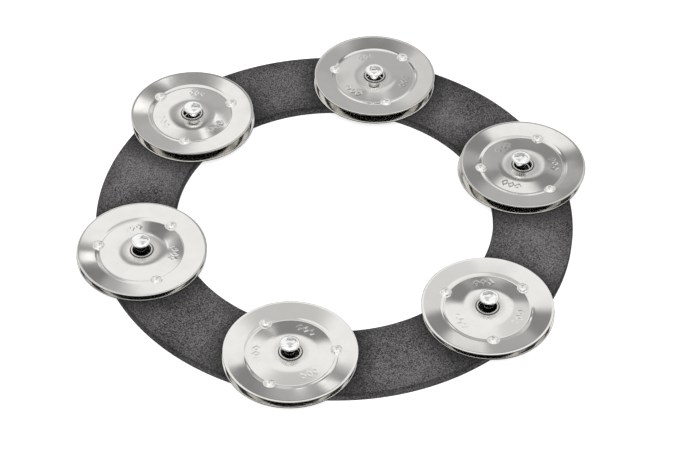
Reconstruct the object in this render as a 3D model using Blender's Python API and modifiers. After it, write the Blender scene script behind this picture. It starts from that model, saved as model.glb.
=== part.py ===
"""Ching ring: a flat rubber ring that lies on a cymbal and carries six pairs of steel jingles.

Lengths are in metres and +Z is up.  The origin is the centre of the ring's underside, so the
part stands on the plane z = 0.  The first station lies on +X and the others follow
anticlockwise, seen from above.  At each station a headed pin comes down through two dished
jingles, a top washer, the ring and a back washer, and is clinched in a recess in the ring's
underside.  The jingles lie back to back: the upper one with its rim up, the lower one with its
rim down.  Both are loose on the pin, and each upper one has come to rest a little off centre.
"""

import math

import bmesh
import bpy
from mathutils import Euler, Matrix, Vector

# Ring
RING_OUTER_DIAMETER = 0.1524
RING_OPENING_DIAMETER = 0.1016
RING_THICKNESS = 0.0034
RING_EDGE_ROUND = 0.0006
STATION_COUNT = 6

# Gap left between two pieces that touch or seat on each other
SEAT_GAP = 0.0003

# Pin: a shoulder rivet with a domed head
SHANK_DIAMETER = 0.0033
SHOULDER_WIDTH = 0.00055
HEAD_CATCH = 0.0002
HEAD_RIM_HEIGHT = 0.0002
HEAD_DOME_HEIGHT = 0.0013
HEAD_TAPER_HEIGHT = 0.0004
TAIL_CATCH = 0.0008
TAIL_THICKNESS = 0.0005
TAIL_SINK = 0.0002

# Washers: a small one inside the lower jingle's bore, a wide one in the underside
WASHER_THICKNESS = 0.0005
TOP_WASHER_CLEARANCE = 0.0004
BACK_WASHER_DIAMETER = 0.009

# Jingle: a dish pressed from thin sheet.  From its rim it falls inwards to a small step, then
# rises again over the floor to a nearly flat hub, and a rounded collar stands round its bore.
JINGLE_DIAMETER = 0.0407
JINGLE_SHEET = 0.0005
JINGLE_PLAY = 0.0025
RIM_FALL = 0.00075
STEP_DIAMETER = 0.0286
STEP_WIDTH = 0.001
STEP_HEIGHT = 0.00025
FLOOR_RISE = 0.00035
HUB_DIAMETER = 0.0148
HUB_RISE = 0.00005
COLLAR_WIDTH = 0.00065
COLLAR_HEIGHT = 0.0003

# Bumps pressed into each jingle's step, towards its rim side
BUMP_COUNT = 3
BUMP_DIAMETER = 0.0034
BUMP_STAND = 0.0002
BUMP_ROOT = 0.00003

# How far an upper jingle can rise before it meets the head of its pin
SLIDE_TRAVEL = 0.0022

# How each upper jingle came to rest on its pin, station by station: its turn about +Z in
# degrees, the way it slipped aside in degrees from +X, and by what share of its play
UPPER_TURNS = (48.0, 28.0, 5.0, 34.0, 106.0, 17.0)
UPPER_SLIPS = (349.0, 62.0, 99.0, 269.0, 284.0, 227.0)
UPPER_SLIP_SHARES = (0.64, 0.68, 0.68, 0.67, 0.33, 0.68)

# How far the lower jingle is turned from the upper one, in degrees
LOWER_TURN_OFFSET = 60.0

# Facets around each round piece, and along a rounded corner
RING_SEGMENTS = 72
JINGLE_SEGMENTS = 28
PIN_SEGMENTS = 16
BUMP_SEGMENTS = 8
CORNER_STEPS = 2
HALF_ROUND_STEPS = 2 * CORNER_STEPS
HEAD_STEPS = 4

# Meshes closer than this are joined where a turned shape closes on itself
MERGE_DISTANCE = 0.00001

# Edges sharper than this, in degrees, stay crisp on the round pieces
SMOOTH_ANGLE = 35.0

# Sizes that follow from the ones above
PIN_CIRCLE_RADIUS = (RING_OUTER_DIAMETER + RING_OPENING_DIAMETER) / 4
SHANK_RADIUS = SHANK_DIAMETER / 2
TENON_RADIUS = SHANK_RADIUS - SHOULDER_WIDTH
BORE_RADIUS = SHANK_RADIUS + JINGLE_PLAY / 2
HEAD_RADIUS = BORE_RADIUS + HEAD_CATCH
WASHER_BORE_RADIUS = TENON_RADIUS + SEAT_GAP
TAIL_RADIUS = WASHER_BORE_RADIUS + TAIL_CATCH
TOP_WASHER_RADIUS = BORE_RADIUS - TOP_WASHER_CLEARANCE
BACK_WASHER_RADIUS = BACK_WASHER_DIAMETER / 2
RECESS_RADIUS = BACK_WASHER_RADIUS + SEAT_GAP
RECESS_DEPTH = TAIL_SINK + TAIL_THICKNESS + SEAT_GAP + WASHER_THICKNESS + SEAT_GAP
BUMP_CIRCLE_RADIUS = (STEP_DIAMETER - STEP_WIDTH) / 2

# Levels inside a jingle, counted from its rim face at zero
STEP_TOP_LEVEL = -RIM_FALL
FLOOR_LEVEL = STEP_TOP_LEVEL - STEP_HEIGHT
HUB_LEVEL = FLOOR_LEVEL + FLOOR_RISE
COLLAR_FOOT_LEVEL = HUB_LEVEL + HUB_RISE
COLLAR_TOP_LEVEL = COLLAR_FOOT_LEVEL + COLLAR_HEIGHT
JINGLE_DEPTH = JINGLE_SHEET - FLOOR_LEVEL

# Heights of the stack, counted from the ring's top face
LOWER_RIM_HEIGHT = SEAT_GAP + BUMP_STAND
UPPER_RIM_HEIGHT = LOWER_RIM_HEIGHT + JINGLE_DEPTH + SEAT_GAP + JINGLE_DEPTH
TOP_WASHER_HEIGHT = SEAT_GAP
SHOULDER_HEIGHT = TOP_WASHER_HEIGHT + WASHER_THICKNESS + SEAT_GAP
TAIL_HEIGHT = TAIL_SINK - RING_THICKNESS
BACK_WASHER_HEIGHT = TAIL_HEIGHT + TAIL_THICKNESS + SEAT_GAP


def clear_scene():
    """Remove whatever objects the opened file holds."""
    for old_object in list(bpy.data.objects):
        bpy.data.objects.remove(old_object, do_unlink=True)


def make_collection(name):
    """Return a new collection linked to the scene."""
    collection = bpy.data.collections.new(name)
    bpy.context.scene.collection.children.link(collection)
    return collection


def make_material(name, colour, metallic, roughness):
    """Return a material with one plain surface."""
    material = bpy.data.materials.new(name)
    material.use_nodes = True
    surface = material.node_tree.nodes["Principled BSDF"]
    surface.inputs["Base Color"].default_value = (*colour, 1.0)
    surface.inputs["Metallic"].default_value = metallic
    surface.inputs["Roughness"].default_value = roughness
    material.diffuse_color = (*colour, 1.0)
    return material


def ring_rubber():
    """Dark grey, fine-grained rubber of the ring."""
    return make_material("ring_rubber", (0.11, 0.108, 0.105), 0.0, 0.8)


def jingle_steel():
    """Polished sheet steel of the jingles."""
    return make_material("jingle_steel", (0.80, 0.79, 0.77), 1.0, 0.14)


def pin_steel():
    """Bright plated steel of the pins."""
    return make_material("pin_steel", (0.84, 0.84, 0.83), 1.0, 0.1)


def washer_steel():
    """Plain zinc-coated steel of the washers."""
    return make_material("washer_steel", (0.62, 0.62, 0.60), 1.0, 0.35)


def arc_points(centre, radii, start, end, steps):
    """Points of an elliptic arc in the profile plane, from start to end in degrees."""
    points = []
    for step in range(steps + 1):
        angle = math.radians(start + (end - start) * step / steps)
        points.append((
            centre[0] + radii[0] * math.cos(angle),
            centre[1] + radii[1] * math.sin(angle),
        ))
    return points


def turned_object(name, outline, closed, segments, collection):
    """Turn an outline of (radius, height) points about Z with a Screw modifier.

    The outline runs outwards on top, down the outer side and inwards below.
    """
    mesh = bpy.data.meshes.new(name)
    vertices = [(radius, 0.0, height) for radius, height in outline]
    edges = [(index, index + 1) for index in range(len(outline) - 1)]
    if closed:
        edges.append((len(outline) - 1, 0))
    mesh.from_pydata(vertices, edges, [])
    turned = bpy.data.objects.new(name, mesh)
    collection.objects.link(turned)
    screw = turned.modifiers.new("turn", "SCREW")
    screw.axis = "Z"
    screw.angle = math.tau
    screw.steps = segments
    screw.render_steps = segments
    screw.use_merge_vertices = True
    screw.merge_threshold = MERGE_DISTANCE
    return turned


def join_by_boolean(body, other, operation):
    """Cut another object out of a body, or unite the two."""
    boolean = body.modifiers.new(operation.lower(), "BOOLEAN")
    boolean.object = other
    boolean.operation = operation
    boolean.solver = "EXACT"


def hide_as_guide(guide):
    """Show a cutter as wire and keep it out of renders."""
    guide.hide_render = True
    guide.display_type = "WIRE"


def take_mesh(source, name):
    """Turn an object with its modifiers into one plain mesh, and remove the object."""
    graph = bpy.context.evaluated_depsgraph_get()
    mesh = bpy.data.meshes.new_from_object(source.evaluated_get(graph))
    mesh.shade_smooth()
    mesh.set_sharp_from_angle(angle=math.radians(SMOOTH_ANGLE))
    outline_mesh = source.data
    bpy.data.objects.remove(source, do_unlink=True)
    bpy.data.meshes.remove(outline_mesh)
    mesh.name = name
    return mesh


def add_piece(name, mesh, parent, place, turn, collection):
    """Put a piece at a place and with a turn, both as its parent sees them."""
    piece = bpy.data.objects.new(name, mesh)
    collection.objects.link(piece)
    piece.parent = parent
    piece.location = place
    piece.rotation_euler = turn
    return piece


def add_empty(name, parent, location, collection):
    """Place an empty that carries other pieces."""
    empty = bpy.data.objects.new(name, None)
    collection.objects.link(empty)
    empty.empty_display_size = BACK_WASHER_DIAMETER
    empty.parent = parent
    empty.location = location
    return empty


def ring_outline():
    """Flat band with four rounded edges."""
    outer = RING_OUTER_DIAMETER / 2 - RING_EDGE_ROUND
    inner = RING_OPENING_DIAMETER / 2 + RING_EDGE_ROUND
    top = RING_THICKNESS - RING_EDGE_ROUND
    bottom = RING_EDGE_ROUND
    radii = (RING_EDGE_ROUND, RING_EDGE_ROUND)
    outline = arc_points((inner, top), radii, 180, 90, CORNER_STEPS)
    outline += arc_points((outer, top), radii, 90, 0, CORNER_STEPS)
    outline += arc_points((outer, bottom), radii, 0, -90, CORNER_STEPS)
    outline += arc_points((inner, bottom), radii, -90, -180, CORNER_STEPS)
    return outline


def seat_outline():
    """Hole for the pin's tenon, and below it the recess for the back washer and the tail."""
    past_face = RING_THICKNESS
    recess_roof = RECESS_DEPTH
    return [
        (0.0, RING_THICKNESS + past_face),
        (WASHER_BORE_RADIUS, RING_THICKNESS + past_face),
        (WASHER_BORE_RADIUS, recess_roof),
        (RECESS_RADIUS, recess_roof),
        (RECESS_RADIUS, -past_face),
        (0.0, -past_face),
    ]


def washer_outline(radius):
    """Flat washer of some radius, standing on its own underside."""
    return [
        (WASHER_BORE_RADIUS, WASHER_THICKNESS),
        (radius, WASHER_THICKNESS),
        (radius, 0.0),
        (WASHER_BORE_RADIUS, 0.0),
    ]


def jingle_dish():
    """Face of a jingle's dish on its rim side, from the collar's foot out to the rim."""
    return [
        (BORE_RADIUS + COLLAR_WIDTH, COLLAR_FOOT_LEVEL),
        (HUB_DIAMETER / 2, HUB_LEVEL),
        (STEP_DIAMETER / 2 - STEP_WIDTH, FLOOR_LEVEL),
        (STEP_DIAMETER / 2, STEP_TOP_LEVEL),
        (JINGLE_DIAMETER / 2, 0.0),
    ]


def jingle_outline():
    """Closed section of a jingle: collar, dish, rim, and a back one sheet below the dish."""
    dish = jingle_dish()
    middle = (BORE_RADIUS + COLLAR_WIDTH / 2, COLLAR_FOOT_LEVEL)
    half_widths = (COLLAR_WIDTH / 2, COLLAR_HEIGHT)
    collar = arc_points(middle, half_widths, 180, 0, HALF_ROUND_STEPS)
    back = [(radius, level - JINGLE_SHEET) for radius, level in reversed(dish)]
    bore_foot = (BORE_RADIUS, COLLAR_FOOT_LEVEL - JINGLE_SHEET)
    return collar + dish[1:] + back + [bore_foot]


def bump_outline():
    """Small dome whose base sits in the floor of the jingle."""
    base = FLOOR_LEVEL - BUMP_ROOT
    radii = (BUMP_DIAMETER / 2, BUMP_STAND - base)
    dome = arc_points((0.0, base), radii, 90, 0, CORNER_STEPS)
    return dome + [(0.0, base)]


def pin_outline():
    """Domed head, straight shank, narrower tenon and clinched tail.

    The head's seat is where the collar of a risen upper jingle all but touches it.
    """
    seat = UPPER_RIM_HEIGHT + COLLAR_TOP_LEVEL + SLIDE_TRAVEL + SEAT_GAP
    rim_top = seat + HEAD_RIM_HEIGHT
    dome = arc_points((0.0, rim_top), (HEAD_RADIUS, HEAD_DOME_HEIGHT), 90, 0, HEAD_STEPS)
    return dome + [
        (HEAD_RADIUS, seat),
        (SHANK_RADIUS, seat - HEAD_TAPER_HEIGHT),
        (SHANK_RADIUS, SHOULDER_HEIGHT),
        (TENON_RADIUS, SHOULDER_HEIGHT),
        (TENON_RADIUS, TAIL_HEIGHT + TAIL_THICKNESS),
        (TAIL_RADIUS, TAIL_HEIGHT + TAIL_THICKNESS),
        (TAIL_RADIUS, TAIL_HEIGHT),
        (0.0, TAIL_HEIGHT),
    ]


def repeat_mesh(mesh, places, name):
    """One mesh holding a copy of another at each of several places."""
    joined = bmesh.new()
    for place in places:
        first_new = len(joined.verts)
        joined.from_mesh(mesh)
        joined.verts.ensure_lookup_table()
        bmesh.ops.transform(joined, matrix=place, verts=joined.verts[first_new:])
    repeated = bpy.data.meshes.new(name)
    joined.to_mesh(repeated)
    joined.free()
    return repeated


def station_places():
    """Where each pin's axis stands, as seen from above."""
    places = []
    for index in range(STATION_COUNT):
        angle = math.tau * index / STATION_COUNT
        places.append(Vector((math.cos(angle), math.sin(angle), 0.0)) * PIN_CIRCLE_RADIUS)
    return places


def build_ring(assembly, collection, cutters):
    """Ring with a stepped hole at each station."""
    seat = turned_object("seat", seat_outline(), False, PIN_SEGMENTS, cutters)
    seat_mesh = take_mesh(seat, "seat")
    holes = [Matrix.Translation(place) for place in station_places()]
    seats = bpy.data.objects.new("pin_seats", repeat_mesh(seat_mesh, holes, "pin_seats"))
    cutters.objects.link(seats)
    hide_as_guide(seats)
    blank = turned_object("ring_blank", ring_outline(), True, RING_SEGMENTS, cutters)
    join_by_boolean(blank, seats, "DIFFERENCE")
    mesh = take_mesh(blank, "ring_body")
    mesh.materials.append(ring_rubber())
    add_piece("ring_body", mesh, assembly, Vector(), Euler(), collection)


def build_jingle_mesh(cutters):
    """Dished sheet with its bumps, the one pressing that all jingles share."""
    dome = turned_object("bump", bump_outline(), False, BUMP_SEGMENTS, cutters)
    dome_mesh = take_mesh(dome, "bump")
    out_to_step = Matrix.Translation((BUMP_CIRCLE_RADIUS, 0.0, 0.0))
    spots = []
    for index in range(BUMP_COUNT):
        spots.append(Matrix.Rotation(math.tau * index / BUMP_COUNT, 4, "Z") @ out_to_step)
    bumps = bpy.data.objects.new("bumps", repeat_mesh(dome_mesh, spots, "bumps"))
    cutters.objects.link(bumps)
    hide_as_guide(bumps)
    dish = turned_object("dish", jingle_outline(), True, JINGLE_SEGMENTS, cutters)
    join_by_boolean(dish, bumps, "UNION")
    mesh = take_mesh(dish, "jingle")
    mesh.materials.append(jingle_steel())
    return mesh


def build_pin_mesh(cutters):
    """Shoulder rivet that all stations share."""
    pin = turned_object("pin", pin_outline(), False, PIN_SEGMENTS, cutters)
    mesh = take_mesh(pin, "pin")
    mesh.materials.append(pin_steel())
    return mesh


def build_washer_mesh(name, radius, steel, cutters):
    """Flat washer that all stations share."""
    washer = turned_object(name, washer_outline(radius), True, PIN_SEGMENTS, cutters)
    mesh = take_mesh(washer, name)
    mesh.materials.append(steel)
    return mesh


def slip_aside(index):
    """How far the upper jingle of a station lies off its pin's axis."""
    direction = math.radians(UPPER_SLIPS[index % len(UPPER_SLIPS)])
    reach = JINGLE_PLAY / 2 * UPPER_SLIP_SHARES[index % len(UPPER_SLIP_SHARES)]
    return Vector((math.cos(direction), math.sin(direction), 0.0)) * reach


def build_station(index, station, meshes, collection):
    """Pin, two washers and two jingles on one pin axis, from the ring's top face."""
    number = index + 1
    up = Vector((0.0, 0.0, 1.0))
    upright = Euler()
    upper_place = UPPER_RIM_HEIGHT * up + slip_aside(index)
    upper_turn = math.radians(UPPER_TURNS[index % len(UPPER_TURNS)])
    face_up = Euler((0.0, 0.0, upper_turn))
    face_down = Euler((math.pi, 0.0, upper_turn + math.radians(LOWER_TURN_OFFSET)))
    pieces = (
        ("pin", meshes["pin"], Vector(), upright),
        ("top_washer", meshes["top_washer"], TOP_WASHER_HEIGHT * up, upright),
        ("back_washer", meshes["back_washer"], BACK_WASHER_HEIGHT * up, upright),
        ("upper_jingle", meshes["jingle"], upper_place, face_up),
        ("lower_jingle", meshes["jingle"], LOWER_RIM_HEIGHT * up, face_down),
    )
    for name, mesh, place, turn in pieces:
        add_piece(f"{name}_{number}", mesh, station, place, turn, collection)


def build_ching_ring():
    """Build the whole assembly."""
    clear_scene()
    collection = make_collection("ching_ring")
    cutters = make_collection("cutters")
    assembly = add_empty("ching_ring", None, (0.0, 0.0, 0.0), collection)
    build_ring(assembly, collection, cutters)
    steel = washer_steel()
    meshes = {
        "pin": build_pin_mesh(cutters),
        "top_washer": build_washer_mesh("top_washer", TOP_WASHER_RADIUS, steel, cutters),
        "back_washer": build_washer_mesh("back_washer", BACK_WASHER_RADIUS, steel, cutters),
        "jingle": build_jingle_mesh(cutters),
    }
    for index, place in enumerate(station_places()):
        foot = place + Vector((0.0, 0.0, RING_THICKNESS))
        station = add_empty(f"station_{index + 1}", assembly, foot, collection)
        build_station(index, station, meshes, collection)


build_ching_ring()
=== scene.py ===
"""Looks of the ching ring: fine meshes, procedural finishes, soft studio light and the camera.

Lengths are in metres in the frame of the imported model: +Z up, origin in the middle of the
ring's underside.  Every class holds the sizes of one sub-assembly, builds its meshes as numpy
surfaces and dresses them with a finish.
"""

from __future__ import annotations

import logging
import math
from dataclasses import dataclass
from enum import Enum

import bmesh
import bpy
import numpy as np
from mathutils import Matrix, Vector


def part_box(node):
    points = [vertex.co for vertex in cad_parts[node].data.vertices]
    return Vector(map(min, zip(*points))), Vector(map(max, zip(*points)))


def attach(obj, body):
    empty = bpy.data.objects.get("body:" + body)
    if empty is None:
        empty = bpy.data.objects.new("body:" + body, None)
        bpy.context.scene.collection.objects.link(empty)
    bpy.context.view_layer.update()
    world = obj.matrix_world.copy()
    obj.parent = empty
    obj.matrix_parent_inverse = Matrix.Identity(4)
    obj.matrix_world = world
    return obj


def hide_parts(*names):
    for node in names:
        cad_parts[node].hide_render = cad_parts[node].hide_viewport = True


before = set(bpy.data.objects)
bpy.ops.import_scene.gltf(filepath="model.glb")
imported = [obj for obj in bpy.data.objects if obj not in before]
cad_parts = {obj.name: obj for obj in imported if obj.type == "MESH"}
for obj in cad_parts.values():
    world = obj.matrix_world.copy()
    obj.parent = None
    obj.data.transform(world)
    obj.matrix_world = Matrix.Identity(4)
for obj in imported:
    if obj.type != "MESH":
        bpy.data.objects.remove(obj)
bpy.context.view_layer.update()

LOG = logging.getLogger("ching_ring")
ROOT_BODY = "ring"
AXIS_DISTANCE = "axis_distance"

Array = np.ndarray


class Slot(Enum):
    """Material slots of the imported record."""

    RUBBER = "ring_rubber"
    JINGLE = "jingle_steel"
    PIN = "pin_steel"
    WASHER = "washer_steel"


class Side(Enum):
    """Which way a jingle's rim faces."""

    UPPER = "upper"
    LOWER = "lower"


@dataclass
class NodeGraph:
    """Short way to write a node tree."""

    tree: bpy.types.NodeTree

    def node(self, kind: str, **settings: object) -> bpy.types.Node:
        """Add a node and set its properties.

        Args:
            kind: Blender's node type name.
            **settings: Properties of the node.

        Returns:
            The new node.
        """
        made = self.tree.nodes.new(kind)
        for key, value in settings.items():
            setattr(made, key, value)
        return made

    def link(self, source: bpy.types.NodeSocket, target: bpy.types.NodeSocket) -> None:
        """Join two sockets."""
        self.tree.links.new(source, target)

    def feed(self, socket: bpy.types.NodeSocket, value: object) -> None:
        """Give a socket either a link or a plain value."""
        if isinstance(value, bpy.types.NodeSocket):
            self.link(value, socket)
        else:
            socket.default_value = value

    def math(self, operation: str, first: object, second: object = 0.0,
             third: object = 0.0) -> bpy.types.NodeSocket:
        """Add a Math node.

        Args:
            operation: Name of the operation.
            first: First operand, a socket or a number.
            second: Second operand, a socket or a number.
            third: Third operand, a socket or a number.

        Returns:
            The result's socket.
        """
        made = self.node("ShaderNodeMath", operation=operation)
        self.feed(made.inputs[0], first)
        self.feed(made.inputs[1], second)
        self.feed(made.inputs[2], third)
        return made.outputs[0]

    def mix(self, weight: bpy.types.NodeSocket, first: object, second: object) -> bpy.types.NodeSocket:
        """Mix two numbers by a weight from 0 to 1."""
        made = self.node("ShaderNodeMix", data_type="FLOAT")
        self.feed(made.inputs[0], weight)
        self.feed(made.inputs[2], first)
        self.feed(made.inputs[3], second)
        return made.outputs[0]

    def noise(self, vector: bpy.types.NodeSocket, scale: float, detail: float,
              roughness: float = 0.5) -> bpy.types.NodeSocket:
        """Add a noise texture and return its value, from 0 to 1."""
        made = self.node("ShaderNodeTexNoise")
        self.link(vector, made.inputs["Vector"])
        made.inputs["Scale"].default_value = scale
        made.inputs["Detail"].default_value = detail
        made.inputs["Roughness"].default_value = roughness
        return made.outputs["Fac"]

    def cells(self, vector: bpy.types.NodeSocket, scale: float) -> bpy.types.NodeSocket:
        """Add a Voronoi texture and return one random value, from 0 to 1, for each cell."""
        made = self.node("ShaderNodeTexVoronoi", feature="F1")
        self.link(vector, made.inputs["Vector"])
        made.inputs["Scale"].default_value = scale
        parts = self.node("ShaderNodeSeparateColor")
        self.link(made.outputs["Color"], parts.inputs[0])
        return parts.outputs[0]

    def remap(self, value: bpy.types.NodeSocket, low: float, high: float,
              new_low: float, new_high: float) -> bpy.types.NodeSocket:
        """Map a range of values smoothly on another, clamped at both ends."""
        made = self.node("ShaderNodeMapRange", interpolation_type="SMOOTHSTEP")
        self.link(value, made.inputs["Value"])
        made.inputs["From Min"].default_value = low
        made.inputs["From Max"].default_value = high
        made.inputs["To Min"].default_value = new_low
        made.inputs["To Max"].default_value = new_high
        return made.outputs["Result"]

    def blend(self, amount: bpy.types.NodeSocket, first: tuple[float, float, float],
              second: tuple[float, float, float]) -> bpy.types.NodeSocket:
        """Mix two colours by an amount from 0 to 1."""
        made = self.node("ShaderNodeMix", data_type="RGBA")
        self.link(amount, made.inputs["Factor"])
        made.inputs[6].default_value = (*first, 1.0)
        made.inputs[7].default_value = (*second, 1.0)
        return made.outputs[2]

    def bump(self, height: bpy.types.NodeSocket, strength: float, distance: float,
             below: bpy.types.NodeSocket | None = None) -> bpy.types.NodeSocket:
        """Add a bump node, on top of another one if given."""
        made = self.node("ShaderNodeBump")
        made.inputs["Strength"].default_value = strength
        made.inputs["Distance"].default_value = distance
        self.link(height, made.inputs["Height"])
        if below is not None:
            self.link(below, made.inputs["Normal"])
        return made.outputs["Normal"]


@dataclass(frozen=True)
class Finish:
    """Common part of all finishes: a named material with one Principled surface."""

    name: str
    slot: Slot

    def start(self) -> tuple[bpy.types.Material, NodeGraph, bpy.types.Node, bpy.types.NodeSocket]:
        """Make the material.

        Returns:
            The material, its graph, its Principled node and the Object coordinates.
        """
        material = bpy.data.materials.new(self.name)
        material.use_nodes = True
        graph = NodeGraph(material.node_tree)
        surface = material.node_tree.nodes["Principled BSDF"]
        place = graph.node("ShaderNodeTexCoord").outputs["Object"]
        return material, graph, surface, place

    def material(self) -> bpy.types.Material:
        """Return the finished material."""
        raise NotImplementedError


@dataclass(frozen=True)
class PolishedSheet(Finish):
    """Polished sheet steel, smooth, with the faintest haze and grain, worn matt round the bore.

    Wear, and the painted shade in the crease at the collar's foot, follow the distance from the
    jingle's axis, an attribute of its mesh.
    """

    bright: tuple[float, float, float] = (0.845, 0.835, 0.81)
    dull: tuple[float, float, float] = (0.815, 0.805, 0.78)
    smooth: float = 0.055
    hazy: float = 0.095
    # Painted shade: the dark colour of the thin band in the crease round the collar's foot.
    collar_shade: tuple[float, float, float] = (0.13, 0.125, 0.115)
    collar_shade_inside: float = 0.00342
    collar_shade_outside: float = 0.00382
    collar_shade_soft: float = 0.00012
    worn: float = 0.27
    worn_inside: float = 0.0038
    worn_outside: float = 0.0066
    mottle_scale: float = 160.0
    grain_scale: float = 2400.0

    def material(self) -> bpy.types.Material:
        """Colour and roughness follow soft mottling, the bump a fine grain; painted shade at the collar's foot."""
        material, graph, surface, place = self.start()
        mottle = graph.noise(place, self.mottle_scale, 4.0, 0.6)
        grain = graph.noise(place, self.grain_scale, 3.0, 0.55)
        surface.inputs["Metallic"].default_value = 1.0
        tint = graph.remap(mottle, 0.35, 0.65, 0.0, 1.0)
        distance = graph.node("ShaderNodeAttribute", attribute_name=AXIS_DISTANCE).outputs["Fac"]
        # Painted shade: a thin dark band in the crease round the collar's foot, between two distances from the axis.
        past = graph.remap(distance, self.collar_shade_inside - self.collar_shade_soft, self.collar_shade_inside, 0.0, 1.0)
        within = graph.remap(distance, self.collar_shade_outside - self.collar_shade_soft, self.collar_shade_outside, 1.0, 0.0)
        colour = graph.node("ShaderNodeMix", data_type="RGBA")
        graph.link(graph.math("MULTIPLY", past, within), colour.inputs["Factor"])
        graph.link(graph.blend(tint, self.bright, self.dull), colour.inputs[6])
        colour.inputs[7].default_value = (*self.collar_shade, 1.0)
        graph.link(colour.outputs[2], surface.inputs["Base Color"])
        haze = graph.remap(mottle, 0.3, 0.7, self.smooth, self.hazy)
        wear = graph.remap(distance, self.worn_inside, self.worn_outside, 1.0, 0.0)
        graph.link(graph.mix(wear, haze, self.worn), surface.inputs["Roughness"])
        graph.link(graph.bump(grain, 0.04, 0.00001), surface.inputs["Normal"])
        return material


@dataclass(frozen=True)
class PlatedPin(Finish):
    """Bright smooth plating with slight waves from the setting tool, and painted shade in the bores."""

    bright: tuple[float, float, float] = (0.95, 0.95, 0.94)
    dull: tuple[float, float, float] = (0.90, 0.90, 0.89)
    # Painted shade: the near-black colour of the shank inside the bores.
    foot: tuple[float, float, float] = (0.035, 0.034, 0.033)
    tail_height: float = 0.0018
    bore_height: float = 0.0022
    foot_height: float = 0.0064
    neck_height: float = 0.0070

    def material(self) -> bpy.types.Material:
        """Low roughness, with small dents from the setting tool; painted shade, near black, inside the bores."""
        material, graph, surface, place = self.start()
        dents = graph.noise(place, 700.0, 2.0)
        fine = graph.noise(place, 3000.0, 3.0)
        surface.inputs["Metallic"].default_value = 1.0
        tint = graph.remap(dents, 0.35, 0.7, 0.0, 1.0)
        parts = graph.node("ShaderNodeSeparateXYZ")
        graph.link(place, parts.inputs["Vector"])
        # Painted shade: the shank is near black from just above the tail to just under the neck, where it stands in
        # the bores.
        above = graph.remap(parts.outputs["Z"], self.foot_height, self.neck_height, 0.0, 1.0)
        below = graph.remap(parts.outputs["Z"], self.tail_height, self.bore_height, 1.0, 0.0)
        unshaded = graph.math("MAXIMUM", above, below)
        colour = graph.node("ShaderNodeMix", data_type="RGBA")
        graph.link(unshaded, colour.inputs["Factor"])
        colour.inputs[6].default_value = (*self.foot, 1.0)
        graph.link(graph.blend(tint, self.bright, self.dull), colour.inputs[7])
        graph.link(colour.outputs[2], surface.inputs["Base Color"])
        graph.link(graph.remap(fine, 0.3, 0.7, 0.06, 0.16), surface.inputs["Roughness"])
        graph.link(graph.bump(dents, 0.08, 0.0001), surface.inputs["Normal"])
        return material


@dataclass(frozen=True)
class BlackedWasher(Finish):
    """Steel with a worn black oxide coat."""

    bright: tuple[float, float, float] = (0.11, 0.11, 0.11)
    dull: tuple[float, float, float] = (0.045, 0.045, 0.046)

    def material(self) -> bpy.types.Material:
        """Cloudy colour and roughness."""
        material, graph, surface, place = self.start()
        cloud = graph.noise(place, 500.0, 4.0, 0.6)
        surface.inputs["Metallic"].default_value = 1.0
        tint = graph.remap(cloud, 0.3, 0.7, 0.0, 1.0)
        graph.link(graph.blend(tint, self.bright, self.dull), surface.inputs["Base Color"])
        graph.link(graph.remap(cloud, 0.3, 0.7, 0.28, 0.45), surface.inputs["Roughness"])
        graph.link(graph.bump(cloud, 0.15, 0.00005), surface.inputs["Normal"])
        return material


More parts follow.
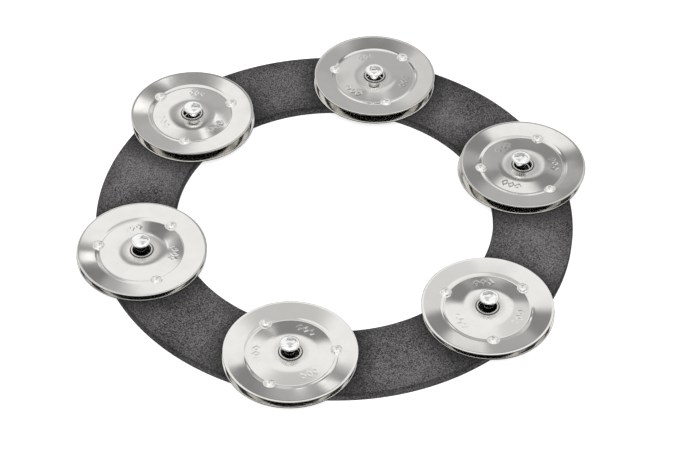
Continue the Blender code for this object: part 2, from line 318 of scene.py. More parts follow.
@dataclass(frozen=True)
class GrainedRubber(Finish):
    """Dark grey rubber with a fine open grain, like dense foam."""

    dark: tuple[float, float, float] = (0.013, 0.0125, 0.0128)
    light: tuple[float, float, float] = (0.238, 0.228, 0.233)
    # Painted shade: the sides' darker copy of the rubber's colours.
    shaded_side_dark: tuple[float, float, float] = (0.006, 0.0057, 0.0058)
    shaded_side_light: tuple[float, float, float] = (0.105, 0.100, 0.102)
    middle_radius: float = 0.0635
    side_start: float = 0.0121
    side_end: float = 0.0126
    shade_start: float = 0.0200
    shade_end: float = 0.0290
    shade_floor: float = 0.0015
    half_sector: float = math.radians(30.0)
    crumb_scale: float = 4300.0
    speck_scale: float = 3300.0
    grain_scale: float = 2300.0
    cloud_scale: float = 45.0

    def material(self) -> bpy.types.Material:
        """Fine speckles on soft clouds, painted shade on the sides, round the pins and towards the top's edges, and a
        two-step bump for the pores.
        """
        material, graph, surface, place = self.start()
        speck = graph.noise(place, self.speck_scale, 0.0)
        grain = graph.noise(place, self.grain_scale, 3.0, 0.6)
        cloud = graph.noise(place, self.cloud_scale, 3.0)
        crumb = graph.cells(place, self.crumb_scale)
        fine = graph.math("ADD", graph.math("MULTIPLY", crumb, 0.45), graph.math("MULTIPLY", speck, 0.33))
        mixed = graph.math("ADD", fine, graph.math("MULTIPLY", grain, 0.22))
        shifted = graph.math("ADD", mixed, graph.math("MULTIPLY", graph.math("SUBTRACT", cloud, 0.5), 0.45))
        parts = graph.node("ShaderNodeSeparateXYZ")
        graph.link(place, parts.inputs["Vector"])
        across, along, height = parts.outputs
        squares = graph.math("ADD", graph.math("MULTIPLY", across, across), graph.math("MULTIPLY", along, along))
        radius = graph.math("SQRT", squares)
        away = graph.math("ABSOLUTE", graph.math("SUBTRACT", radius, self.middle_radius))
        # Painted shade on the top face: darker round each pin, where the jingles hang over it, and towards the face's
        # edges; the height keeps it off the sides.
        painted_shade = graph.math("MULTIPLY", graph.remap(self.pin_distance(graph, across, along, radius, squares),
                                                    self.shade_start, self.shade_end, 0.40, 1.0),
                            graph.remap(away, self.side_start * 0.5, self.side_start, 1.0, 0.7))
        weight = graph.remap(height, self.shade_floor, self.shade_floor * 2.0, 0.0, 1.0)
        tone = graph.math("MULTIPLY", graph.remap(shifted, 0.22, 0.90, 0.0, 1.0), graph.mix(weight, 1.0, painted_shade))
        top = graph.blend(tone, self.dark, self.light)
        # Painted shade: the sides take a darker copy of the rubber's colour.
        side = graph.blend(tone, self.shaded_side_dark, self.shaded_side_light)
        edge = graph.remap(away, self.side_start, self.side_end, 0.0, 1.0)
        colour = graph.node("ShaderNodeMix", data_type="RGBA")
        graph.link(edge, colour.inputs["Factor"])
        graph.link(top, colour.inputs[6])
        graph.link(side, colour.inputs[7])
        graph.link(colour.outputs[2], surface.inputs["Base Color"])
        surface.inputs["Roughness"].default_value = 0.78
        surface.inputs["Specular IOR Level"].default_value = 0.12
        coarse = graph.bump(grain, 0.25, 0.0002)
        graph.link(graph.bump(speck, 0.35, 0.0001, coarse), surface.inputs["Normal"])
        return material

    def pin_distance(self, graph: Graph, across: bpy.types.NodeSocket, along: bpy.types.NodeSocket,
                     radius: bpy.types.NodeSocket, squares: bpy.types.NodeSocket) -> bpy.types.NodeSocket:
        """Distance from the axis of the nearest pin.

        The direction is folded into one sixth of a turn with a pin in its middle, at angle t
        from it; by the law of cosines the distance is sqrt(r^2 + m^2 - 2 r m cos t).

        Args:
            graph: The material's graph.
            across: The place's x.
            along: The place's y.
            radius: Its distance r from the ring's axis.
            squares: The square of r.

        Returns:
            The distance's socket, in metres.
        """
        turn = graph.math("WRAP", graph.math("ARCTAN2", along, across), self.half_sector, -self.half_sector)
        facing = graph.math("MULTIPLY", graph.math("COSINE", turn), 2.0 * self.middle_radius)
        product = graph.math("MULTIPLY", radius, facing)
        return graph.math("SQRT", graph.math("SUBTRACT", graph.math("ADD", squares, self.middle_radius ** 2), product))


def grid_mesh(name: str, points: Array, wrap_rows: bool, wrap_columns: bool) -> bpy.types.Mesh:
    """Turn a grid of points into a mesh of quads whose faces point outwards.

    Corner k of the quad at row i, column j is one of the four neighbours (i, j), (i, j+1),
    (i+1, j+1), (i+1, j), with indices taken round the grid where it wraps.

    Args:
        name: Name of the mesh.
        points: Array of shape rows, columns, 3.
        wrap_rows: Whether the last row joins the first.
        wrap_columns: Whether the last column joins the first.

    Returns:
        The mesh, with coincident points merged.
    """
    rows, columns = points.shape[:2]
    row = np.arange(rows if wrap_rows else rows - 1)[:, None]
    column = np.arange(columns if wrap_columns else columns - 1)[None, :]
    next_row = (row + 1) % rows
    next_column = (column + 1) % columns
    corners = np.stack([
        row * columns + column,
        row * columns + next_column,
        next_row * columns + next_column,
        next_row * columns + column,
    ], axis=-1).reshape(-1, 4)
    mesh = bpy.data.meshes.new(name)
    mesh.vertices.add(rows * columns)
    mesh.vertices.foreach_set("co", points.reshape(-1).astype(np.float32))
    mesh.loops.add(corners.size)
    mesh.loops.foreach_set("vertex_index", corners.reshape(-1).astype(np.int32))
    mesh.polygons.add(len(corners))
    mesh.polygons.foreach_set("loop_start", np.arange(0, corners.size, 4, dtype=np.int32))
    mesh.update(calc_edges=True)
    tidy = bmesh.new()
    tidy.from_mesh(mesh)
    bmesh.ops.remove_doubles(tidy, verts=tidy.verts[:], dist=1e-7)
    if tidy.calc_volume(signed=True) < 0.0:
        bmesh.ops.reverse_faces(tidy, faces=tidy.faces[:])
    tidy.to_mesh(mesh)
    tidy.free()
    return mesh


def turn_profile(radius: Array, height: Array, segments: int) -> Array:
    """Carry a profile of radii and heights round the Z axis.

    Point i at angle a is (radius i times cos a, radius i times sin a, height i).
    """
    angle = np.linspace(0.0, math.tau, segments, endpoint=False)
    grid = np.empty((len(radius), segments, 3))
    grid[:, :, 0] = radius[:, None] * np.cos(angle)[None, :]
    grid[:, :, 1] = radius[:, None] * np.sin(angle)[None, :]
    grid[:, :, 2] = height[:, None]
    return grid


def arc(centre: tuple[float, float], radii: tuple[float, float], start: float, end: float,
        count: int) -> Array:
    """Points of an elliptic arc as rows of radius and height, angles in degrees."""
    angle = np.radians(np.linspace(start, end, count))
    return np.stack([centre[0] + radii[0] * np.cos(angle), centre[1] + radii[1] * np.sin(angle)], axis=1)


def store_axis_distance(mesh: bpy.types.Mesh) -> None:
    """Keep each vertex's distance from the Z axis, for finishes that follow it."""
    places = np.empty(len(mesh.vertices) * 3, dtype=np.float32)
    mesh.vertices.foreach_get("co", places)
    across, along, _ = places.reshape(-1, 3).T
    stored = mesh.attributes.new(AXIS_DISTANCE, "FLOAT", "POINT")
    stored.data.foreach_set("value", np.hypot(across, along))


def add_object(name: str, mesh: bpy.types.Mesh, material: bpy.types.Material,
               sharp_angle: float) -> bpy.types.Object:
    """Link a smooth-shaded mesh to the scene with its material.

    Args:
        name: Name of the piece.
        mesh: Its mesh, already in place.
        material: Its finish.
        sharp_angle: Edges sharper than this, in degrees, stay crisp.

    Returns:
        The object, at the origin.
    """
    mesh.shade_smooth()
    mesh.set_sharp_from_angle(angle=math.radians(sharp_angle))
    mesh.materials.clear()
    mesh.materials.append(material)
    piece = bpy.data.objects.new(name, mesh)
    bpy.context.scene.collection.objects.link(piece)
    return piece


def hand_over(piece: bpy.types.Object, node: str, body: str) -> None:
    """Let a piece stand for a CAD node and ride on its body."""
    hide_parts(node)
    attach(piece, body)
    LOG.info("%s stands for %s on %s", piece.name, node, body)


@dataclass
class Layout:
    """Places that all sub-assemblies share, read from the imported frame."""

    station_count: int = 6

    def middle(self, node: str) -> tuple[float, float]:
        """Middle of a solid's box, seen from above."""
        low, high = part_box(node)
        return ((low[0] + high[0]) / 2, (low[1] + high[1]) / 2)

    def axis(self, number: int) -> tuple[float, float]:
        """Where the pin of a station stands."""
        return self.middle(f"pin_{number}")

    def ring_top(self) -> float:
        """Height of the ring's top face."""
        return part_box("ring_body")[1][2]

    def numbers(self) -> range:
        """Numbers of the stations, from 1."""
        return range(1, self.station_count + 1)


@dataclass
class RubberRing:
    """The band of rubber with its six stepped holes."""

    layout: Layout
    outer_radius: float = 0.0762
    opening_radius: float = 0.0508
    thickness: float = 0.0034
    edge_round: float = 0.0006
    hole_radius: float = 0.0014
    recess_radius: float = 0.0048
    recess_depth: float = 0.0018
    segments: int = 300
    flat_rows: int = 8

    def section(self) -> Array:
        """Closed section: four flats joined by four rounded corners."""
        outer = self.outer_radius - self.edge_round
        inner = self.opening_radius + self.edge_round
        top = self.thickness - self.edge_round
        radii = (self.edge_round, self.edge_round)
        corners = [
            arc((inner, top), radii, 180, 90, 7),
            arc((outer, top), radii, 90, 0, 7),
            arc((outer, self.edge_round), radii, 0, -90, 7),
            arc((inner, self.edge_round), radii, -90, -180, 7),
        ]
        upper = np.linspace(corners[0][-1], corners[1][0], self.flat_rows)[1:-1]
        lower = np.linspace(corners[2][-1], corners[3][0], self.flat_rows)[1:-1]
        return np.concatenate([corners[0], upper, corners[1], corners[2], lower, corners[3]])

    def seat_section(self) -> Array:
        """Section of one stepped hole, from the top of the cutter to its foot."""
        past = self.thickness
        return np.array([
            (0.0, self.thickness + past),
            (self.hole_radius, self.thickness + past),
            (self.hole_radius, self.recess_depth),
            (self.recess_radius, self.recess_depth),
            (self.recess_radius, -past),
            (0.0, -past),
        ])

    def cutter(self) -> bpy.types.Object:
        """All six stepped holes as one object."""
        section = self.seat_section()
        joined = bmesh.new()
        for number in self.layout.numbers():
            x, y = self.layout.axis(number)
            grid = turn_profile(section[:, 0], section[:, 1], 48) + np.array([x, y, 0.0])
            joined.from_mesh(grid_mesh("seat", grid, False, True))
        mesh = bpy.data.meshes.new("seats")
        joined.to_mesh(mesh)
        joined.free()
        seats = bpy.data.objects.new("seats", mesh)
        bpy.context.scene.collection.objects.link(seats)
        return seats

    def build(self, finish: Finish) -> bpy.types.Object:
        """Turn the section, cut the holes and dress the ring."""
        section = self.section()
        blank_mesh = grid_mesh("ring_blank", turn_profile(section[:, 0], section[:, 1], self.segments), True, True)
        blank = bpy.data.objects.new("ring_blank", blank_mesh)
        bpy.context.scene.collection.objects.link(blank)
        seats = self.cutter()
        cut = blank.modifiers.new("holes", "BOOLEAN")
        cut.object = seats
        cut.operation = "DIFFERENCE"
        cut.solver = "EXACT"
        graph = bpy.context.evaluated_depsgraph_get()
        mesh = bpy.data.meshes.new_from_object(blank.evaluated_get(graph))
        bpy.data.objects.remove(blank, do_unlink=True)
        bpy.data.objects.remove(seats, do_unlink=True)
        piece = add_object("rubber_ring", mesh, finish.material(), 40.0)
        hand_over(piece, "ring_body", ROOT_BODY)
        return piece


@dataclass
class Jingle:
    """One pressed jingle: its face as a height over radius and angle, and its sheet."""

    radius: float = 0.02035
    sheet: float = 0.0005
    edge_round: float = 0.00022
    bore_radius: float = 0.0029
    rim_fall: float = 0.00075
    step_radius: float = 0.0143
    step_width: float = 0.001
    step_height: float = 0.00025
    floor_rise: float = 0.00035
    hub_radius: float = 0.0074
    apron_radius: float = 0.0049
    apron_rise: float = 0.00006
    collar_width: float = 0.00065
    collar_height: float = 0.00029
    collar_shape: float = 3.0
    crease: float = 0.0003
    hub_crease: float = 0.0010
    bump_count: int = 3
    bump_radius: float = 0.0017
    bump_stand: float = 0.0002
    bump_root: float = 0.00003
    bump_fillet: float = 0.00007
    mark_radius: float = 0.0104
    mark_height: float = 0.00003
    warp: float = 0.00005
    segments: int = 288

    def floor_level(self) -> float:
        """Height of the lowest circle, at the foot of the step."""
        return -(self.rim_fall + self.step_height)

    def knots(self) -> Array:
        """Points of the dish from the bore to the rim: hub, floor, step and rim."""
        hub = self.floor_level() + self.floor_rise
        return np.array([
            (0.0, hub),
            (self.hub_radius, hub),
            (self.step_radius - self.step_width, self.floor_level()),
            (self.step_radius, -self.rim_fall),
            (self.radius, 0.0),
        ])

    def dish_height(self, radius: Array) -> Array:
        """Height of the dish over the radius, with every crease rounded.

        The height is the mean of the straight-line profile at nine radii spread evenly over
        one crease width on both sides, and carries on in a straight line past the rim.  The
        crease round the hub is wider than the others.
        """
        knots = self.knots()
        width = np.where(radius < self.mark_radius, self.hub_crease, self.crease)
        spread = radius[..., None] + width[..., None] * np.linspace(-1.0, 1.0, 9)
        slope = self.rim_fall / (self.radius - self.step_radius)
        past = np.maximum(spread - self.radius, 0.0) * slope
        return (np.interp(spread, knots[:, 0], knots[:, 1]) + past).mean(axis=-1)

    def collar(self, radius: Array) -> Array:
        """Rise of the rounded collar round the bore and of the apron at its foot.

        Over its width the collar falls as the root of one minus the power of the share of the
        way from the bore to its foot, a full rounded shape with a steep foot, and the mean of
        five radii close together softens the foot.  The apron's rise is its height at the
        collar's foot times the square of the share of the way left to its edge.
        """
        spread = radius[..., None] + np.linspace(-0.00002, 0.00002, 5)
        share = np.clip((spread - self.bore_radius - 0.15 * self.collar_width) / (0.85 * self.collar_width), 0.0, 1.0)
        full = (1.0 - share ** self.collar_shape) ** (1.0 / self.collar_shape)
        foot = self.bore_radius + self.collar_width
        left = np.clip((self.apron_radius - radius) / (self.apron_radius - foot), 0.0, 1.0)
        return full.mean(axis=-1) * self.collar_height + left ** 2 * self.apron_rise

    def radii(self) -> Array:
        """Radii of the grid's rows, closer together where the sheet bends or has relief."""
        foot = self.bore_radius + self.collar_width
        stops = (
            (self.bore_radius + self.edge_round, foot - 0.0002, 7),
            (foot - 0.0002, foot + 0.00004, 12),
            (foot + 0.00004, self.apron_radius, 7),
            (self.apron_radius, self.hub_radius - 1.2 * self.hub_crease, 3),
            (self.hub_radius - 1.2 * self.hub_crease, self.hub_radius + 1.2 * self.hub_crease, 11),
            (self.hub_radius + 1.2 * self.hub_crease, self.mark_radius - 0.0014, 2),
            (self.mark_radius - 0.0014, self.mark_radius + 0.0014, 14),
            (self.mark_radius + 0.0014, self.step_radius + 0.0014, 28),
            (self.step_radius + 0.0014, self.radius - 2 * self.edge_round, 10),
        )
        spans = [np.linspace(low, high, count, endpoint=False) for low, high, count in stops]
        return np.concatenate(spans + [np.array([self.radius - self.edge_round])])

    def angles(self) -> Array:
        """Angles of the grid's columns, closer together at the bumps and midway between.

        Each is an even angle less a tenth of the sine of twice the bump count times it.
        """
        even = np.linspace(0.0, math.tau, self.segments, endpoint=False)
        folds = 2 * self.bump_count
        return even - 0.6 / folds * np.sin(folds * even)

    def bumps(self, radius: Array, angle: Array, dish: Array) -> Array:
        """Rise of the sheet at the bumps.

        Each bump is half an ellipsoid: its height times the square root of one minus the
        square of the distance over its radius.  Where it meets the dish, half the sum of both
        plus half the root of their squared difference and a small fillet joins them.
        """
        foot = self.floor_level() - self.bump_root
        top = self.bump_stand - foot
        pitch = math.tau / self.bump_count
        nearest = (angle + pitch / 2) % pitch - pitch / 2
        along = radius * np.cos(nearest) - (self.step_radius - self.step_width / 2)
        across = radius * np.sin(nearest)
        distance = np.hypot(along, across) / self.bump_radius
        dome = foot + np.sqrt(np.clip(1.0 - distance ** 2, 0.0, 1.0)) * top
        dome = dome - 3.0 * top * np.maximum(distance - 1.0, 0.0)
        joined = (dish + dome + np.hypot(dish - dome, self.bump_fillet)) / 2
        far = (dish + dome + np.abs(dish - dome)) / 2
        return np.where(distance < 1.3, joined, far) - dish

    def marks(self, radius: Array, angle: Array) -> Array:
        """Relief of the plain pressed ornament between the bumps: three small lozenges.

        Around each lozenge's centre the ridge follows the line where the distance across
        over its half width plus the distance along over its half height is one.
        """
        pitch = math.tau / self.bump_count
        nearest = angle % pitch - pitch / 2
        across = radius * nearest
        along = radius - self.mark_radius
        relief = np.zeros_like(across)
        for centre in (-0.0021, 0.0, 0.0021):
            level = np.abs(across - centre) / 0.0009 + np.abs(along) / 0.0012
            relief = np.maximum(relief, np.exp(-(((level - 0.85) / 0.25) ** 2)))
        return relief * self.mark_height

    def section_rows(self) -> tuple[Array, Array, Array]:
        """Rows round the closed section.

        Returns:
            Radius of each row, its place through the sheet (0 at the face, 1 at the back),
            and the radius at which its face height is read.
        """
        face = self.radii()
        turn = np.linspace(0.0, math.pi, 9)[1:-1]
        bulge = np.sqrt(np.sin(turn)) * self.edge_round
        depth = (1.0 - np.cos(turn)) / 2
        radius = np.concatenate([face, face[-1] + bulge, face[::-1], face[0] - bulge])
        through = np.concatenate([np.zeros(len(face)), depth, np.ones(len(face)), depth[::-1]])
        follow = np.concatenate([face, np.full(len(turn), face[-1]), face[::-1], np.full(len(turn), face[0])])
        return radius, through, follow

    def grid(self, seed: int) -> Array:
        """Whole jingle with its rim up, its rim face at height 0 and its axis on Z.

        Height is the dish's height plus bumps, marks and a slight saddle-shaped warp, less the
        place through the sheet times its thickness.  The collar adds its rise to the face and
        fades out through the sheet, so the back stays plain there.
        """
        radius, through, follow = self.section_rows()
        ring_radius, ring_angle = np.meshgrid(follow, self.angles(), indexing="ij")
        phase = np.random.default_rng(seed).uniform(0.0, math.tau, 2)
        share = ring_radius / self.radius
        warp = self.warp * share ** 2 * (np.cos(2 * ring_angle + phase[0]) + 0.5 * np.cos(3 * ring_angle + phase[1]))
        dish = self.dish_height(ring_radius)
        relief = self.bumps(ring_radius, ring_angle, dish) + self.marks(ring_radius, ring_angle)
        height = dish + relief + warp - through[:, None] * self.sheet
        height = height + self.collar(ring_radius) * (1.0 - through[:, None])
        points = np.empty((len(radius), self.segments, 3))
        points[:, :, 0] = radius[:, None] * np.cos(ring_angle)
        points[:, :, 1] = radius[:, None] * np.sin(ring_angle)
        points[:, :, 2] = height
        return points


@dataclass
class JinglePairs:
    """The six pairs of jingles, back to back on their pins."""

    layout: Layout
    jingle: Jingle
    seat_gap: float = 0.0003
    lower_turn_offset: float = 60.0
    upper_turns: tuple[float, ...] = (48.0, 28.0, 5.0, 34.0, 106.0, 17.0)

    def place(self, number: int, side: Side) -> Matrix:
        """Where a jingle lies: the middle of its solid, its turn, its flip and its height."""
        x, y = self.layout.middle(f"{side.value}_jingle_{number}")
        turn = math.radians(self.upper_turns[number - 1])
        if side is Side.UPPER:
            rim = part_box(f"upper_jingle_{number}")[1][2] - self.jingle.bump_stand
            return Matrix.Translation((x, y, rim)) @ Matrix.Rotation(turn, 4, "Z")
        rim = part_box(f"lower_jingle_{number}")[0][2] + self.jingle.bump_stand
        turn += math.radians(self.lower_turn_offset)
        flip = Matrix.Rotation(math.pi, 4, "X")
        return Matrix.Translation((x, y, rim)) @ Matrix.Rotation(turn, 4, "Z") @ flip

    def build(self, finish: Finish) -> list[bpy.types.Object]:
        """Make all twelve jingles."""
        material = finish.material()
        made = []
        for number in self.layout.numbers():
            for side in Side:
                node = f"{side.value}_jingle_{number}"
                seed = 10 * number + (side is Side.LOWER)
                mesh = grid_mesh(node, self.jingle.grid(seed), True, True)
                store_axis_distance(mesh)
                mesh.transform(self.place(number, side))
                piece = add_object(f"{side.value}_dish_{number}", mesh, material, 60.0)
                hand_over(piece, node, node)
                made.append(piece)
        return made


@dataclass
class Pins:
    """The six shoulder rivets."""

    layout: Layout
    head_radius: float = 0.0031
    head_dome: float = 0.0011
    head_belly: float = 0.0008
    belly_shape: float = 1.5
    shank_radius: float = 0.00165
    shoulder_height: float = 0.0011
    tenon_radius: float = 0.0011
    tail_radius: float = 0.0022
    tail_thickness: float = 0.0005
    edge: float = 0.00009
    segments: int = 72

    def section(self, top: float, foot: float) -> Array:
        """Outer line of the pin from the middle of its head to the middle of its tail.

        The dome is a quarter of an ellipse over the head's whole radius.  The belly falls from
        its edge to the shank: its depth is one minus the belly shape's power of the share of
        the way from the edge in from the shank, raised to one over that shape.

        Args:
            top: Height of the dome's top.
            foot: Height of the tail's underside.
        """
        shoulder = self.layout.ring_top() + self.shoulder_height
        widest = top - self.head_dome
        tail_top = foot + self.tail_thickness
        crown = arc((0.0, widest), (self.head_radius, self.head_dome), 90, 0, 24)
        share = np.sin(np.radians(np.linspace(84.0, 0.0, 15)))
        depth = (1.0 - share ** self.belly_shape) ** (1.0 / self.belly_shape) * self.head_belly
        overhang = self.head_radius - self.shank_radius
        belly = np.stack([self.shank_radius + share * overhang, widest - depth], axis=1)
        rest = np.array([
            (self.shank_radius, shoulder),
            (self.tenon_radius, shoulder),
            (self.tenon_radius, tail_top),
            (self.tail_radius - self.edge, tail_top),
        ])
        tail = arc((self.tail_radius - self.edge, tail_top - self.edge), (self.edge, self.edge), 90, -90, 5)
        bottom = np.array([(self.tail_radius - 3 * self.edge, foot), (0.0, foot)])
        return np.concatenate([crown, belly, rest, tail, bottom])

    def build(self, finish: Finish) -> list[bpy.types.Object]:
        """Make the six pins."""
        material = finish.material()
        made = []
        for number in self.layout.numbers():
            low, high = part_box(f"pin_{number}")
            section = self.section(high[2], low[2])
            x, y = self.layout.axis(number)
            grid = turn_profile(section[:, 0], section[:, 1], self.segments) + np.array([x, y, 0.0])
            mesh = grid_mesh(f"rivet_{number}", grid, False, True)
            piece = add_object(f"rivet_{number}", mesh, material, 40.0)
            hand_over(piece, f"pin_{number}", ROOT_BODY)
            made.append(piece)
        return made


@dataclass
class Washers:
    """The washers on both faces of the ring."""

    layout: Layout
    top_radius: float = 0.0025
    back_radius: float = 0.0045
    bore_radius: float = 0.0014
    edge: float = 0.00012
    segments: int = 64

    def section(self, radius: float, low: float, high: float) -> Array:
        """Flat section with four rounded corners."""
        outer = radius - self.edge
        inner = self.bore_radius + self.edge
        radii = (self.edge, self.edge)
        return np.concatenate([
            arc((inner, high - self.edge), radii, 180, 90, 4),
            arc((outer, high - self.edge), radii, 90, 0, 4),
            arc((outer, low + self.edge), radii, 0, -90, 4),
            arc((inner, low + self.edge), radii, -90, -180, 4),
        ])

    def build(self, finish: Finish) -> list[bpy.types.Object]:
        """Make the twelve washers."""
        material = finish.material()
        made = []
        for number in self.layout.numbers():
            x, y = self.layout.axis(number)
            for place, radius in (("top", self.top_radius), ("back", self.back_radius)):
                node = f"{place}_washer_{number}"
                low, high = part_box(node)
                section = self.section(radius, low[2], high[2])
                grid = turn_profile(section[:, 0], section[:, 1], self.segments) + np.array([x, y, 0.0])
                mesh = grid_mesh(node, grid, True, True)
                piece = add_object(f"{place}_disc_{number}", mesh, material, 40.0)
                hand_over(piece, node, ROOT_BODY)
                made.append(piece)
        return made


@dataclass(frozen=True)
class Panel:
    """Grey panel of the light tent, in degrees: azimuth is right of straight behind."""

    azimuth: float
    half_width: float
    elevation: float
    half_height: float
    soft: float
    level: float

    def weight(self, graph: NodeGraph, azimuth: bpy.types.NodeSocket,
               elevation: bpy.types.NodeSocket) -> bpy.types.NodeSocket:
        """Weight of the panel, from 0 outside to 1 inside.

        Args:
            graph: Node graph of the tent's cloth.
            azimuth: Azimuth on the tent.
            elevation: Elevation on the tent.

        Returns:
            The product of the weights across and up.
        """
        turned = graph.math("WRAP", graph.math("SUBTRACT", azimuth, self.azimuth), 180.0, -180.0)
        across = graph.remap(graph.math("ABSOLUTE", turned), self.half_width - self.soft / 2,
                             self.half_width + self.soft / 2, 1.0, 0.0)
        away = graph.math("ABSOLUTE", graph.math("SUBTRACT", elevation, self.elevation))
        up = graph.remap(away, self.half_height - self.soft / 2, self.half_height + self.soft / 2, 1.0, 0.0)
        return graph.math("MULTIPLY", across, up)


@dataclass
class Studio:
    """Camera, floor, sky, light tent and lamp."""

    layout: Layout
    image_width: int = 683
    focal_pixels: float = 2191.4
    sensor: float = 36.0
    elevation: float = 45.2
    distance: float = 0.6958
    roll: float = 0.87
    turn: float = 18.53
    target: tuple[float, float] = (0.00231, -0.00801)
    floor_gap: float = 0.00005
    floor_half: float = 6.0
    floor_glow: float = 0.50
    floor_mirrored: float = 0.05
    tent_radius: float = 0.4
    tent_level: float = 0.99

    def camera(self) -> bpy.types.Object:
        """Camera at the photograph's place, found from the ring's two edges."""
        lens = bpy.data.cameras.new("camera")
        lens.sensor_fit = "HORIZONTAL"
        lens.sensor_width = self.sensor
        lens.lens = self.focal_pixels / self.image_width * self.sensor
        lens.clip_start = 0.01
        lens.clip_end = 50.0
        rise = math.radians(self.elevation)
        back = Vector((0.0, -math.cos(rise), math.sin(rise)))
        right = Vector((1.0, 0.0, 0.0))
        up = back.cross(right)
        lean = math.radians(self.roll)
        tilted_right = math.cos(lean) * right + math.sin(lean) * up
        tilted_up = -math.sin(lean) * right + math.cos(lean) * up
        spin = Matrix.Rotation(math.radians(-self.turn), 3, "Z")
        target = Vector((self.target[0], self.target[1], 0.0))
        place = spin @ (target + back * self.distance)
        place.z += self.layout.ring_top()
        axes = Matrix((spin @ tilted_right, spin @ tilted_up, spin @ back)).transposed()
        camera = bpy.data.objects.new("camera", lens)
        camera.matrix_world = Matrix.Translation(place) @ axes.to_4x4()
        bpy.context.scene.collection.objects.link(camera)
        bpy.context.scene.camera = camera
        return camera

    def floor(self) -> bpy.types.Object:
        """White floor just under the ring."""
        half = self.floor_half
        corners = [(-half, -half), (half, -half), (half, half), (-half, half)]
        mesh = bpy.data.meshes.new("floor")
        mesh.from_pydata([(x, y, -self.floor_gap) for x, y in corners], [], [(0, 1, 2, 3)])
        material = bpy.data.materials.new("floor_white")
        material.use_nodes = True
        surface = material.node_tree.nodes["Principled BSDF"]
        surface.inputs["Base Color"].default_value = (0.96, 0.96, 0.96, 1.0)
        surface.inputs["Roughness"].default_value = 0.9
        surface.inputs["Specular IOR Level"].default_value = 0.0
        surface.inputs["Emission Color"].default_value = (1.0, 1.0, 1.0, 1.0)
        surface.inputs["Emission Strength"].default_value = self.floor_glow
        graph = NodeGraph(material.node_tree)
        shade = graph.node("ShaderNodeEmission")
        shade.inputs["Strength"].default_value = self.floor_mirrored
        both = graph.node("ShaderNodeMixShader")
        graph.link(graph.node("ShaderNodeLightPath").outputs["Is Glossy Ray"], both.inputs["Fac"])
        graph.link(surface.outputs["BSDF"], both.inputs[1])
        graph.link(shade.outputs["Emission"], both.inputs[2])
        graph.link(both.outputs["Shader"], material.node_tree.nodes["Material Output"].inputs["Surface"])
        mesh.materials.append(material)
        floor = bpy.data.objects.new("floor", mesh)
        bpy.context.scene.collection.objects.link(floor)
        return floor

    def sky(self) -> None:
        """Plain white sky."""
        world = bpy.data.worlds.new("studio")
        bpy.context.scene.world = world
        world.use_nodes = True
        background = world.node_tree.nodes["Background"]
        background.inputs["Color"].default_value = (1.0, 1.0, 1.0, 1.0)
        background.inputs["Strength"].default_value = 0.6

    def tent(self) -> bpy.types.Object:
        """White light tent round the ring, which only polished metal mirrors.

        It is a half ball.  Its glow is even, apart from panels between its cloths.  A panel's
        weight falls smoothly from one to zero at its edges in azimuth and in elevation, both
        read from the place on the tent.
        """
        rise = np.radians(np.linspace(0.0, 90.0, 31))
        section = self.tent_radius * np.stack([np.cos(rise), np.sin(rise)], axis=1)
        mesh = grid_mesh("tent", turn_profile(section[:, 0], section[:, 1], 72), False, True)
        material = bpy.data.materials.new("tent_cloth")
        material.use_nodes = True
        graph = NodeGraph(material.node_tree)
        material.node_tree.nodes.remove(material.node_tree.nodes["Principled BSDF"])
        place = graph.node("ShaderNodeTexCoord").outputs["Object"]
        turned = graph.node("ShaderNodeVectorRotate", rotation_type="Z_AXIS")
        graph.link(place, turned.inputs["Vector"])
        turned.inputs["Angle"].default_value = math.radians(self.turn)
        parts = graph.node("ShaderNodeSeparateXYZ")
        graph.link(turned.outputs["Vector"], parts.inputs["Vector"])
        right, away, up = parts.outputs
        azimuth = graph.math("DEGREES", graph.math("ARCTAN2", right, away))
        elevation = graph.math("DEGREES", graph.math("ARCSINE", graph.math("DIVIDE", up, self.tent_radius)))
        level: object = self.tent_level
        for panel in self.panels():
            weight = panel.weight(graph, azimuth, elevation)
            level = graph.mix(weight, level, panel.level)
        glow = graph.node("ShaderNodeEmission")
        graph.link(level, glow.inputs["Strength"])
        output = material.node_tree.nodes["Material Output"]
        graph.link(glow.outputs["Emission"], output.inputs["Surface"])
        material.cycles.emission_sampling = "NONE"
        mesh.materials.append(material)
        mesh.shade_smooth()
        tent = bpy.data.objects.new("tent", mesh)
        tent.location.z = self.layout.ring_top()
        bpy.context.scene.collection.objects.link(tent)
        tent.visible_camera = False
        tent.visible_diffuse = False
        tent.visible_shadow = False
        tent.visible_transmission = False
        return tent

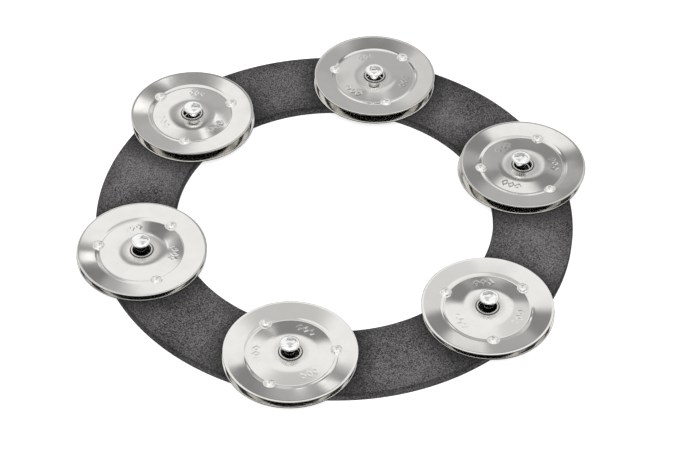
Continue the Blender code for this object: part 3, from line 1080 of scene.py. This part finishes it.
    def panels(self) -> tuple[Panel, ...]:
        """Grey gaps of the tent, each painted over the ones before."""
        return (
            Panel(31.5, 5.9, 64.0, 19.5, 2.5, 0.77),
            Panel(6.5, 18.6, 33.5, 11.4, 2.5, 0.50),
            Panel(5.6, 23.8, 38.8, 3.8, 2.0, 0.45),
            Panel(0.6, 10.5, 47.2, 3.7, 2.5, 0.26),
            Panel(20.5, 9.5, 43.7, 2.6, 1.8, 0.26),
            Panel(31.0, 18.9, 34.8, 2.8, 2.5, 0.28),
            Panel(-17.7, 8.0, 47.3, 2.0, 3.0, 0.34),
            Panel(-14.0, 2.6, 41.5, 3.2, 1.5, 0.22),
            Panel(-11.3, 1.0, 45.2, 1.6, 1.0, 1.25),
            Panel(-7.0, 1.2, 40.0, 2.0, 1.0, 1.25),
            Panel(-2.2, 2.6, 32.2, 9.0, 1.5, 0.71),
            Panel(4.4, 3.0, 39.9, 3.3, 1.5, 0.80),
            Panel(18.0, 3.6, 38.9, 2.3, 1.5, 0.84),
            Panel(-3.3, 31.2, 78.1, 15.6, 4.9, 0.63),
            Panel(180.0, 75.0, 54.0, 22.0, 6.0, 1.15),
            Panel(180.0, 125.0, 19.5, 5.5, 8.0, 0.55),
            Panel(180.0, 42.0, 4.0, 15.0, 14.0, 0.16),
            Panel(0.0, 110.0, 0.0, 6.0, 4.0, 0.45),
            Panel(0.0, 200.0, 90.0, 9.0, 6.0, 0.62),
            Panel(60.0, 60.0, 88.0, 5.0, 4.0, 0.45),
            Panel(70.0, 9.0, 43.0, 4.0, 3.0, 0.58),
            Panel(104.0, 12.0, 37.0, 5.0, 4.0, 0.60),
            Panel(136.0, 7.0, 47.0, 3.5, 2.5, 0.45),
            Panel(165.0, 11.0, 40.0, 5.0, 3.0, 0.60),
            Panel(-66.0, 7.0, 40.0, 4.5, 3.0, 0.58),
            Panel(-98.0, 11.0, 45.0, 4.5, 4.0, 0.52),
            Panel(-134.0, 10.0, 38.0, 5.5, 3.0, 0.60),
        )

    def lamp(self) -> None:
        """One large soft lamp from above the camera."""
        light = bpy.data.lights.new("key", "AREA")
        light.shape = "DISK"
        light.size = 0.9
        light.energy = 9.0
        lamp = bpy.data.objects.new("key", light)
        place = Vector((-0.25, -0.65, 0.8))
        lamp.location = place
        lamp.rotation_euler = (-place).to_track_quat("-Z", "Y").to_euler()
        bpy.context.scene.collection.objects.link(lamp)

    def build(self) -> None:
        """Set the stage."""
        self.camera()
        self.floor()
        self.sky()
        self.tent()
        self.lamp()
        bpy.context.scene.view_settings.view_transform = "Standard"


def main() -> None:
    """Build the classes in order."""
    logging.basicConfig(level=logging.INFO, format="%(name)s: %(message)s")
    layout = Layout()
    Studio(layout).build()
    RubberRing(layout).build(GrainedRubber("grained_rubber", Slot.RUBBER))
    JinglePairs(layout, Jingle()).build(PolishedSheet("polished_sheet", Slot.JINGLE))
    Pins(layout).build(PlatedPin("plated_pin", Slot.PIN))
    Washers(layout).build(BlackedWasher("blacked_washer", Slot.WASHER))


if __name__ == "__main__":
    main()
